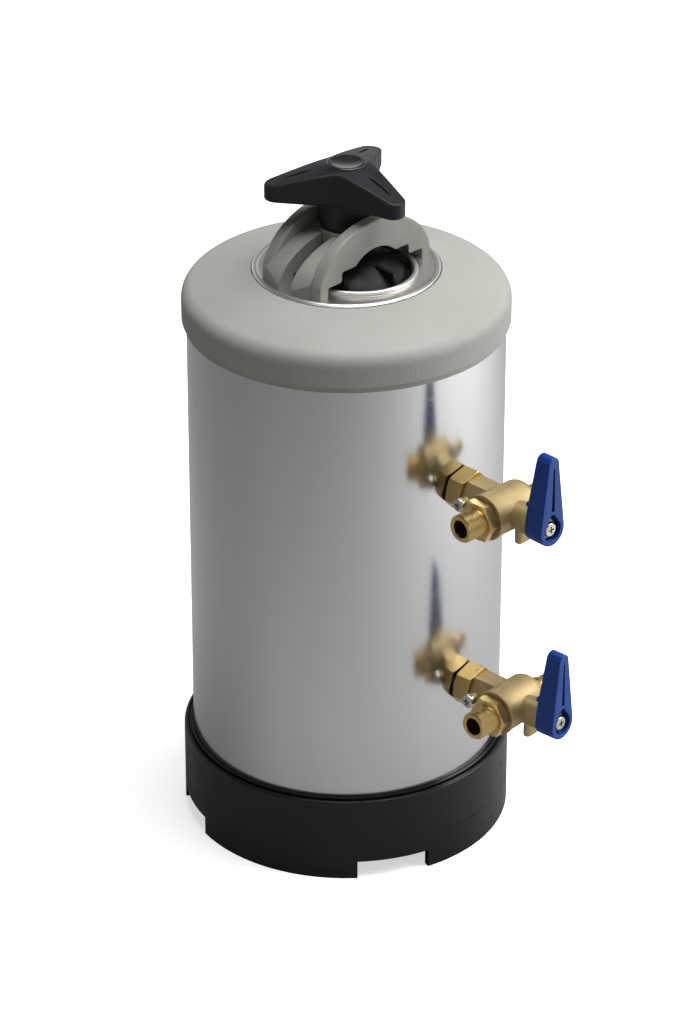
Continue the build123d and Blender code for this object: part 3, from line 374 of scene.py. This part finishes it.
# The same bar for the locknut, turned along X: a little browner, with painted shade in its recesses
LOCKNUT_BRASS = Finish(
    name="turned_nut_brass", base="#b89e69", drift="#b0955e", worn="#e0c890", metallic=1.0,
    rough=(0.27, 0.33), cloud_mm=14.0, grain_mm=0.3, grain_deep_mm=0.002,
    tool_mm=0.3, tool_deep_mm=0.004, tool_axis=LatheAxis.X, shade_and_dust="#5f4416", shade_and_dust_share=0.5, edge_mm=0.3,
)
# Blue nylon, moulded: satin, paler on rubbed edges, with painted shade in its recesses
LEVER_NYLON = Finish(
    name="moulded_blue_nylon", base="#003e94", drift="#00378a", worn="#3563b2", metallic=0.0,
    rough=(0.32, 0.4), cloud_mm=10.0, grain_mm=0.4, grain_deep_mm=0.01,
    wave_mm=9.0, wave_deep_mm=0.03, scuff=0.08, shade_and_dust="#062050", shade_and_dust_share=0.5, edge_mm=0.6, wear=0.6, ior=1.4,
)
# Cold-headed stainless screws: bright, with painted shade in their crosses
SCREW_STEEL = Finish(
    name="cold_headed_steel", base="#cfc9bf", drift="#bcb6ac", worn="#ece8e0", metallic=1.0,
    rough=(0.2, 0.32), cloud_mm=2.0, grain_mm=0.25, grain_deep_mm=0.008,
    shade_and_dust="#3a342b", shade_and_dust_share=0.7, shade_and_dust_mm=1.0, edge_mm=0.2,
)
# Nitrile rubber, moulded: black and dull
SEAL_RUBBER = Finish(
    name="nitrile_rubber", base="#161615", drift="#1c1c1b", worn="#2a2a28", metallic=0.0,
    rough=(0.6, 0.75), cloud_mm=3.0, grain_mm=0.3, grain_deep_mm=0.02,
)
# Pressed fibre washer: dark brown and dry
FIBRE = Finish(
    name="pressed_fibre", base="#1d1a16", drift="#2a251e", worn="#3a342b", metallic=0.0,
    rough=(0.7, 0.85), cloud_mm=2.0, grain_mm=0.2, grain_deep_mm=0.03,
)
# PTFE, turned: white and waxy
SEAT_PTFE = Finish(
    name="turned_ptfe", base="#d9d8d2", drift="#d0cfc8", worn="#e4e3dd", metallic=0.0,
    rough=(0.4, 0.5), cloud_mm=4.0, grain_mm=0.4, grain_deep_mm=0.005,
)
# Dark acetal washer under the knob, turned: smooth
WASHER_ACETAL = Finish(
    name="turned_dark_acetal", base="#1b1c1c", drift="#212222", worn="#333434", metallic=0.0,
    rough=(0.35, 0.45), cloud_mm=4.0, grain_mm=0.3, grain_deep_mm=0.006,
)
# Natural polypropylene, moulded: milky
STRAINER_PP = Finish(
    name="moulded_white_polypropylene", base="#d0cec6", drift="#c6c4bb", worn="#dddbd3", metallic=0.0,
    rough=(0.45, 0.55), cloud_mm=6.0, grain_mm=0.6, grain_deep_mm=0.01,
)
# Chrome on a ground brass ball: a clear mirror
BALL_CHROME = Finish(
    name="chromed_brass", base="#d6d7d9", drift="#cfd0d2", worn="#e8e9ea", metallic=1.0,
    rough=(0.06, 0.12), cloud_mm=5.0, grain_mm=0.4, grain_deep_mm=0.001, edge_mm=0.1,
)
# Turned stainless bar with a rolled thread: grey, with painted shade in the thread's roots
STUD_STEEL = Finish(
    name="rolled_stainless_bar", base="#bdbdba", drift="#b0b0ac", worn="#d6d6d2", metallic=1.0,
    rough=(0.26, 0.36), cloud_mm=4.0, grain_mm=0.3, grain_deep_mm=0.006,
    shade_and_dust="#4a4843", shade_and_dust_share=0.5, shade_and_dust_mm=1.2, edge_mm=0.2,
)
# Ion exchange resin: a packed bed of amber beads, drawn at 0.9 mm, coarser than real, so that they show
RESIN_BEADS = Finish(
    name="ion_exchange_resin", base="#b5762a", drift="#8f5717", worn="#c98a3c", metallic=0.0,
    rough=(0.3, 0.5), cloud_mm=6.0, grain_mm=0.8, grain_deep_mm=0.3, nub_mm=0.9, nub_deep_mm=0.3,
)


@dataclass
class Wardrobe:
    """Puts finishes on objects and keeps one material for each finish."""

    made: dict[str, bpy.types.Material] = field(default_factory=dict)

    def dress(self, thing: bpy.types.Object, finish: Finish) -> None:
        """Give an object its finish.

        Args:
            thing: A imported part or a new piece.
            finish: Its finish.
        """
        if finish.name not in self.made:
            self.made[finish.name] = finish.make()
        thing.data.materials.clear()
        thing.data.materials.append(self.made[finish.name])
        LOG.info("dressed %s in %s", thing.name, finish.name)

    def dress_nodes(self, finishes: dict[str, Finish], prefix: str = "") -> None:
        """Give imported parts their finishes, by name."""
        for node, finish in finishes.items():
            self.dress(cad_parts[prefix + node], finish)


@dataclass(frozen=True)
class Thread:
    """A right-handed rolled or cut thread."""

    major_r: float
    pitch: float
    deep: float
    lead: float = 1.2
    steep: float = 1.35

    def groove(self, station: Grid, angle: Grid, start: float, finish: float) -> Grid:
        """How far the surface lies under the crest.

        The ridge is a triangle wave of station / pitch less angle / full turn, made steeper about its middle and
        cut flat at crest and root. It fades in over the lead at the start, and over half the lead at the end.

        Args:
            station: Distance along the axis.
            angle: Angle round the axis, in radians.
            start: Where the thread starts.
            finish: Where it ends.

        Returns:
            The depth, from zero at a crest to the thread's depth at a root.
        """
        phase = np.mod(station / self.pitch - angle / FULL_TURN, 1.0)
        shape = np.clip(np.abs(2 * phase - 1) * self.steep - (self.steep - 1) / 2, 0.0, 1.0)
        fade_in = np.clip((station - start) / self.lead, 0.0, 1.0)
        fade_out = np.clip((finish - station) / (self.lead / 2), 0.0, 1.0)
        return self.deep * shape * (fade_in * fade_out)


@dataclass(frozen=True)
class Hexagon:
    """A hexagon along an axis, with a conical chamfer on one or both ends. A flat's middle is at angle zero."""

    start: float
    thick: float
    across: float
    chamfer: float
    far_chamfer: bool = True
    face_inset: float = 0.3

    def rings(self, angle: Grid) -> tuple[Grid, Grid]:
        """The rings where each cone meets the face and the flats.

        The flats lie at half the width over the cosine of the angle from the flat's middle. A cone rises from the
        face's circle by the corner's height over the chamfer's length, so it meets the flats further along the
        axis where they lie further out.

        Args:
            angle: The angles round the axis.

        Returns:
            The stations and the radii, rings by angles.
        """
        sixth = np.pi / 3
        flats = self.across / 2 / np.cos(np.mod(angle + sixth / 2, sixth) - sixth / 2)
        face = np.full(angle.shape, self.across / 2 - self.face_inset)
        corner = self.across / math.sqrt(3)
        meet = (flats - face) / (corner - face) * self.chamfer
        near = np.full(angle.shape, self.start)
        far = near + self.thick
        if self.far_chamfer:
            return np.stack([near, near + meet, far - meet, far]), np.stack([face, flats, flats, face])
        return np.stack([near, near + meet, far]), np.stack([face, flats, flats])


@dataclass
class Lathe:
    """Rings round one axis, gathered in order and joined to a smooth tube."""

    points_round: int
    sharp_deg: float = 28.0
    stations: list[Grid] = field(default_factory=list)
    radii: list[Grid] = field(default_factory=list)

    def __post_init__(self) -> None:
        """Spread the angles evenly over a full turn."""
        self.angles = np.linspace(0.0, FULL_TURN, self.points_round, endpoint=False)

    def add(self, stations: Grid, radii: Grid) -> None:
        """Add rings.

        Args:
            stations: Distances along the axis. A row for each ring, and one column or one for each angle.
            radii: Distances from the axis, in the same form.
        """
        stations, radii, _ = np.broadcast_arrays(stations, radii, self.angles)
        self.stations.append(stations)
        self.radii.append(radii)

    def circles(self, *profile: tuple[float, float]) -> None:
        """Add round rings, each a station and a radius."""
        table = np.array(profile)
        self.add(table[:, :1], table[:, 1:])

    def hexagon(self, shape: Hexagon) -> None:
        """Add a hexagon's rings."""
        self.add(*shape.rings(self.angles))

    def thread(self, thread: Thread, start: float, last: float, finish: float, count: int) -> None:
        """Add a thread's rings: the crest's radius less the groove's depth.

        Args:
            thread: The thread.
            start: Where it starts, and where its first ring is.
            last: Where its last ring is, before the end's chamfer.
            finish: Where the threaded length ends.
            count: How many rings it has.
        """
        stations = np.linspace(start, last, count)[:, None]
        self.add(stations, thread.major_r - thread.groove(stations, self.angles, start, finish))

    def points(self, origin: Vector, axis: Vector, across: Vector) -> Grid:
        """Place the rings round a straight axis.

        Args:
            origin: Where station zero is, in millimetres.
            axis: The axis, of length one.
            across: The direction of angle zero, of length one.

        Returns:
            Points in metres: the origin, plus the axis by the station, plus the radius along the turned direction,
            which is across by the angle's cosine plus its perpendicular by the angle's sine.
        """
        stations, radii = np.concatenate(self.stations), np.concatenate(self.radii)
        perpendicular = np.array(axis.cross(across))
        outward = np.cos(self.angles)[:, None] * np.array(across) + np.sin(self.angles)[:, None] * perpendicular
        return (np.array(origin) + stations[:, :, None] * np.array(axis) + radii[:, :, None] * outward[None]) * MM

    def make(self, name: str, origin: Vector, axis: Vector, across: Vector, closed: bool) -> bpy.types.Object:
        """Join the rings to a smooth tube, with sharp edges where its faces turn by more than sharp_deg.

        Args:
            name: The object's name.
            origin: Where station zero is, in millimetres.
            axis: The axis, of length one.
            across: The direction of angle zero, of length one.
            closed: Whether the last ring joins the first; otherwise both ends get a flat cap.

        Returns:
            The finished object, at the origin.
        """
        points = self.points(origin, axis, across)
        rings, around, _ = points.shape
        index = np.arange(rings * around).reshape(rings, around)
        following = np.roll(index, -1, axis=0) if closed else index[1:]
        here = index if closed else index[:-1]
        corners = [here, np.roll(here, -1, axis=1), np.roll(following, -1, axis=1), following]
        faces = np.stack(corners, axis=-1).reshape(-1, 4).tolist()
        if not closed:
            faces += [index[0][::-1].tolist(), index[-1].tolist()]
        mesh = bpy.data.meshes.new(name)
        mesh.from_pydata(points.reshape(-1, 3).tolist(), [], faces)
        mesh.polygons.foreach_set("use_smooth", np.ones(len(mesh.polygons), dtype=bool))
        mesh.set_sharp_from_angle(angle=math.radians(self.sharp_deg))
        mesh.update()
        made = bpy.data.objects.new(name, mesh)
        put_in_scene(made)
        LOG.info("built %s: %d faces", name, len(mesh.polygons))
        return made


class Side(Enum):
    """The two valves: name, height of the port and turn round the tank in degrees."""

    LOWER = ("lower", 113.5, 4.2)
    UPPER = ("upper", 247.0, -0.5)

    def __init__(self, title: str, port_height: float, turn_deg: float) -> None:
        """Give the value's parts their names.

        Args:
            title: The side's name.
            port_height: How high its port lies above the floor.
            turn_deg: How far it is turned round the tank.
        """
        self.prefix = title + "_"
        self.port_height = port_height
        self.turn = math.radians(turn_deg)

    def turned(self, point: Sequence[float]) -> Vector:
        """A point or direction of the unturned valve, turned to this side's port."""
        x, y, z = point
        cosine, sine = math.cos(self.turn), math.sin(self.turn)
        return Vector((x * cosine - y * sine, x * sine + y * cosine, z))


@dataclass
class SideValve:
    """One valve: its dressed parts and a threaded outlet, with the part's own sizes."""

    side: Side
    barrel_x: float = 128.0
    spigot_start: float = 11.7
    spigot_r: float = 8.0
    hex_start: float = 17.5
    hex_across: float = 22.0
    hex_thick: float = 6.0
    hex_chamfer: float = 1.1
    thread_long: float = 12.8
    mouth_chamfer: float = 0.9
    bore_r: float = 5.3
    bore_chamfer: float = 0.4
    thread: Thread = Thread(8.33, 1.337, 0.62)
    thread_rings: int = 110
    points_round: int = 120

    finishes: ClassVar[dict[str, Finish]] = {
        "strainer": STRAINER_PP, "tank_socket": STUD_STEEL, "port_gasket": FIBRE, "locknut": LOCKNUT_BRASS,
        "valve_body": CAST_BRASS, "ball": BALL_CHROME, "stem": LOCKNUT_BRASS, "stem_seal": SEAL_RUBBER,
        "stem_gland": LOCKNUT_BRASS, "lever": LEVER_NYLON, "lever_washer": SCREW_STEEL, "lever_screw": SCREW_STEEL,
        "outlet_nipple": OUTLET_BRASS, "outlet_gasket": LOCKNUT_BRASS, "drain_spout": OUTLET_BRASS,
        "bleed_screw": SCREW_STEEL, "bleed_seal": SEAL_RUBBER, "outlet_seat": SEAT_PTFE, "drain_seat": SEAT_PTFE,
    }

    def outlet(self) -> bpy.types.Object:
        """The outlet nipple: a spigot, a chamfered hexagon, a helical pipe thread and a bore, as one closed tube."""
        thread_start = self.hex_start + self.hex_thick
        mouth = thread_start + self.thread_long
        crest, bore, lip = self.thread.major_r, self.bore_r, self.bore_chamfer
        lathe = Lathe(self.points_round)
        lathe.circles((self.spigot_start, self.spigot_r), (self.hex_start, self.spigot_r))
        lathe.hexagon(Hexagon(self.hex_start, self.hex_thick, self.hex_across, self.hex_chamfer))
        lathe.thread(self.thread, thread_start, mouth - self.mouth_chamfer, mouth, self.thread_rings)
        lathe.circles((mouth, crest - self.mouth_chamfer), (mouth, bore + lip), (mouth - lip, bore))
        lathe.circles((self.spigot_start, bore))
        origin = self.side.turned((self.barrel_x, 0.0, self.side.port_height))
        axis, up = self.side.turned((0.0, -1.0, 0.0)), Vector((0.0, 0.0, 1.0))
        return lathe.make(self.side.prefix + "threaded_outlet", origin, axis, up, closed=True)

    def build(self, wardrobe: Wardrobe) -> None:
        """Dress the valve's parts and put its threaded outlet in place of the plain nipple."""
        wardrobe.dress_nodes(self.finishes, self.side.prefix)
        outlet = self.outlet()
        wardrobe.dress(outlet, OUTLET_BRASS)
        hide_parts(self.side.prefix + "outlet_nipple")
        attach(outlet, "softener")


@dataclass
class Closure:
    """The lid, its threaded stud, the bridge and the knob, with the part's own sizes."""

    stud_thread: Thread = Thread(6.0, 1.75, 0.95, 1.6)
    head_low: float = 327.5
    head_thick: float = 7.0
    head_across: float = 18.0
    head_chamfer: float = 0.9
    top: float = 412.0
    thread_start: float = 358.0
    end_chamfer: float = 1.0
    thread_rings: int = 250
    points_round: int = 96

    finishes: ClassVar[dict[str, Finish]] = {
        "lid": LID_NYLON, "lid_gasket": SEAL_RUBBER, "lid_stud": STUD_STEEL, "stud_seal": SEAL_RUBBER,
        "bridge": BRIDGE_NYLON, "thrust_washer": WASHER_ACETAL, "knob": KNOB_NYLON, "knob_insert": LOCKNUT_BRASS,
        "knob_cap": CAP_ABS,
    }

    def stud(self) -> bpy.types.Object:
        """The stud: a hexagon head, a plain shank and a rolled thread up to a chamfered end."""
        crest = self.stud_thread.major_r
        lathe = Lathe(self.points_round)
        lathe.hexagon(Hexagon(self.head_low, self.head_thick, self.head_across, self.head_chamfer, far_chamfer=False))
        lathe.circles((self.head_low + self.head_thick, crest))
        lathe.thread(self.stud_thread, self.thread_start, self.top - self.end_chamfer, self.top, self.thread_rings)
        lathe.circles((self.top, crest - self.end_chamfer))
        origin, axis, across = Vector((0.0, 0.0, 0.0)), Vector((0.0, 0.0, 1.0)), Vector((1.0, 0.0, 0.0))
        return lathe.make("threaded_stud", origin, axis, across, closed=False)

    def build(self, wardrobe: Wardrobe) -> None:
        """Dress the closure and put the threaded stud in place of the plain one."""
        wardrobe.dress_nodes(self.finishes)
        stud = self.stud()
        wardrobe.dress(stud, STUD_STEEL)
        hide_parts("lid_stud")
        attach(stud, "lid_assembly")


@dataclass
class Tank:
    """The tank, its head, its collar, its base and the resin inside."""

    finishes: ClassVar[dict[str, Finish]] = {
        "tank_shell": TANK_STEEL, "top_head": HEAD_STEEL, "top_collar": COLLAR_ABS,
        "base_skirt": BASE_POLYPROPYLENE, "resin_bed": RESIN_BEADS,
    }

    def build(self, wardrobe: Wardrobe) -> None:
        """Dress the tank's parts."""
        wardrobe.dress_nodes(self.finishes)


@dataclass(frozen=True)
class Lamp:
    """A square soft lamp: its place, its side and the point that it faces in metres, and its power in watts."""

    name: str
    place: tuple[float, float, float]
    size: float
    watts: float
    aim: tuple[float, float, float]

    def hang(self) -> None:
        """Add the lamp to the scene."""
        data = bpy.data.lights.new(self.name, "AREA")
        data.shape, data.size, data.energy = "SQUARE", self.size, self.watts
        hung = bpy.data.objects.new(self.name, data)
        hung.location = Vector(self.place)
        face_towards(hung, Vector(self.aim))
        put_in_scene(hung)


@dataclass
class PhotoStudio:
    """A pale floor and backdrop, soft lamps, and a camera at the photograph's viewing angle. Lengths in metres."""

    azimuth_deg: float = 45.0
    elevation_deg: float = 28.82
    distance: float = 2.6
    axis_height: float = 0.1941
    aim_right: float = -0.00343
    lens_mm: float = 154.58
    sensor_mm: float = 36.0
    clip: tuple[float, float] = (0.05, 50.0)
    floor_half: float = 6.0
    floor_paper: str = "#b6b6b6"
    floor_rough: float = 0.9
    # To the camera the floor glows more the further it lies from the object, so that a soft shadow stays near it
    glow_from: float = 0.2
    glow_to: float = 1.2
    glow_near: float = 0.6
    glow_far: float = 0.85
    # To the metal the backdrop fades to a dim ceiling between these heights of the view's direction
    backdrop_top: float = 0.1
    ceiling_start: float = 0.5
    ceiling: float = 0.12
    sky: float = 0.1
    lamps: tuple[Lamp, ...] = (
        Lamp("overhead_softbox", (0.2, 0.2, 1.7), 1.2, 23.0, (0.0, 0.0, 0.2)),
        Lamp("floor_wash", (0.8, 0.8, 0.8), 0.9, 29.0, (1.0, 0.9, 0.0)),
    )

    def camera(self) -> None:
        """Stand the camera where the photograph was taken from."""
        turn, rise = math.radians(self.azimuth_deg), math.radians(self.elevation_deg)
        back = Vector((math.sin(turn) * math.cos(rise), -math.cos(turn) * math.cos(rise), math.sin(rise)))
        right = Vector((math.cos(turn), math.sin(turn), 0.0))
        middle = Vector((0.0, 0.0, self.axis_height))
        data = bpy.data.cameras.new("photo_camera")
        data.lens, data.sensor_width = self.lens_mm, self.sensor_mm
        data.clip_start, data.clip_end = self.clip
        seat = bpy.data.objects.new("photo_camera", data)
        seat.location = middle + back * self.distance
        face_towards(seat, middle + right * self.aim_right)
        put_in_scene(seat)
        bpy.context.scene.camera = seat

    def floor(self) -> None:
        """Lay the pale floor: white to the camera, with the object's shadow kept, and plain paper to the metal."""
        half = self.floor_half
        mesh = bpy.data.meshes.new("studio_floor")
        mesh.from_pydata([(-half, -half, 0), (half, -half, 0), (half, half, 0), (-half, half, 0)], [], [(0, 1, 2, 3)])
        laid = bpy.data.objects.new("studio_floor", mesh)
        put_in_scene(laid)
        material = bpy.data.materials.new("studio_paper")
        material.use_nodes = True
        tree = material.node_tree
        shader = tree.nodes["Principled BSDF"]
        shader.inputs["Base Color"].default_value = linear(self.floor_paper)
        shader.inputs["Roughness"].default_value = self.floor_rough
        paper = add_node(tree, "BsdfDiffuse", {"Color": WHITE}).outputs["BSDF"]
        place = add_node(tree, "TexCoord").outputs["Object"]
        reach = add_node(tree, "VectorMath", {"operation": "LENGTH"}, {0: place}).outputs["Value"]
        levels = {
            "From Min": self.glow_from, "From Max": self.glow_to, "To Min": self.glow_near, "To Max": self.glow_far,
        }
        strength = add_node(tree, "MapRange", levels, {"Value": reach}).outputs["Result"]
        glow = add_node(tree, "Emission", {"Color": WHITE}, {"Strength": strength}).outputs["Emission"]
        white = add_node(tree, "AddShader", {}, {0: paper, 1: glow}).outputs["Shader"]
        seen = add_node(tree, "LightPath").outputs["Is Camera Ray"]
        shown = add_node(tree, "MixShader", {}, {0: seen, 1: shader.outputs["BSDF"], 2: white}).outputs["Shader"]
        tree.links.new(shown, tree.nodes["Material Output"].inputs["Surface"])
        mesh.materials.append(material)

    def world(self) -> None:
        """A soft sky: white to the camera, dim as light, and to the metal a white backdrop under a dim ceiling."""
        world = bpy.data.worlds.new("studio_world")
        bpy.context.scene.world = world
        world.use_nodes = True
        tree = world.node_tree
        path = add_node(tree, "LightPath").outputs
        view = add_node(tree, "TexCoord").outputs["Generated"]
        height = add_node(tree, "SeparateXYZ", {}, {0: view}).outputs["Z"]
        levels = {
            "From Min": self.backdrop_top, "From Max": self.ceiling_start, "To Min": 1.0, "To Max": self.ceiling,
        }
        backdrop = add_node(tree, "MapRange", levels, {"Value": height}).outputs["Result"]
        dim = add_node(tree, "Background", {"Color": WHITE, "Strength": self.sky}).outputs["Background"]
        shown = add_node(tree, "Background", {"Color": WHITE}, {"Strength": backdrop}).outputs["Background"]
        white = add_node(tree, "Background", {"Color": WHITE, "Strength": 1.0}).outputs["Background"]
        rays = {0: path["Is Glossy Ray"], 1: path["Is Transmission Ray"]}
        clear = add_node(tree, "Math", {"operation": "MAXIMUM"}, rays).outputs["Value"]
        metal = add_node(tree, "MixShader", {}, {0: clear, 1: dim, 2: shown}).outputs["Shader"]
        mixed = add_node(tree, "MixShader", {}, {0: path["Is Camera Ray"], 1: metal, 2: white}).outputs["Shader"]
        tree.links.new(mixed, tree.nodes["World Output"].inputs["Surface"])

    def build(self) -> None:
        """Set the whole studio up."""
        bpy.context.scene.view_settings.view_transform = "Standard"
        self.camera()
        self.floor()
        self.world()
        for lamp in self.lamps:
            lamp.hang()
            LOG.info("hung %s", lamp.name)


def main() -> None:
    """Dress every part, build the new pieces and set up the studio."""
    logging.basicConfig(level=logging.INFO, format="%(message)s")
    wardrobe = Wardrobe()
    Tank().build(wardrobe)
    Closure().build(wardrobe)
    for side in Side:
        SideValve(side).build(wardrobe)
    PhotoStudio().build()


if __name__ == "__main__":
    main()
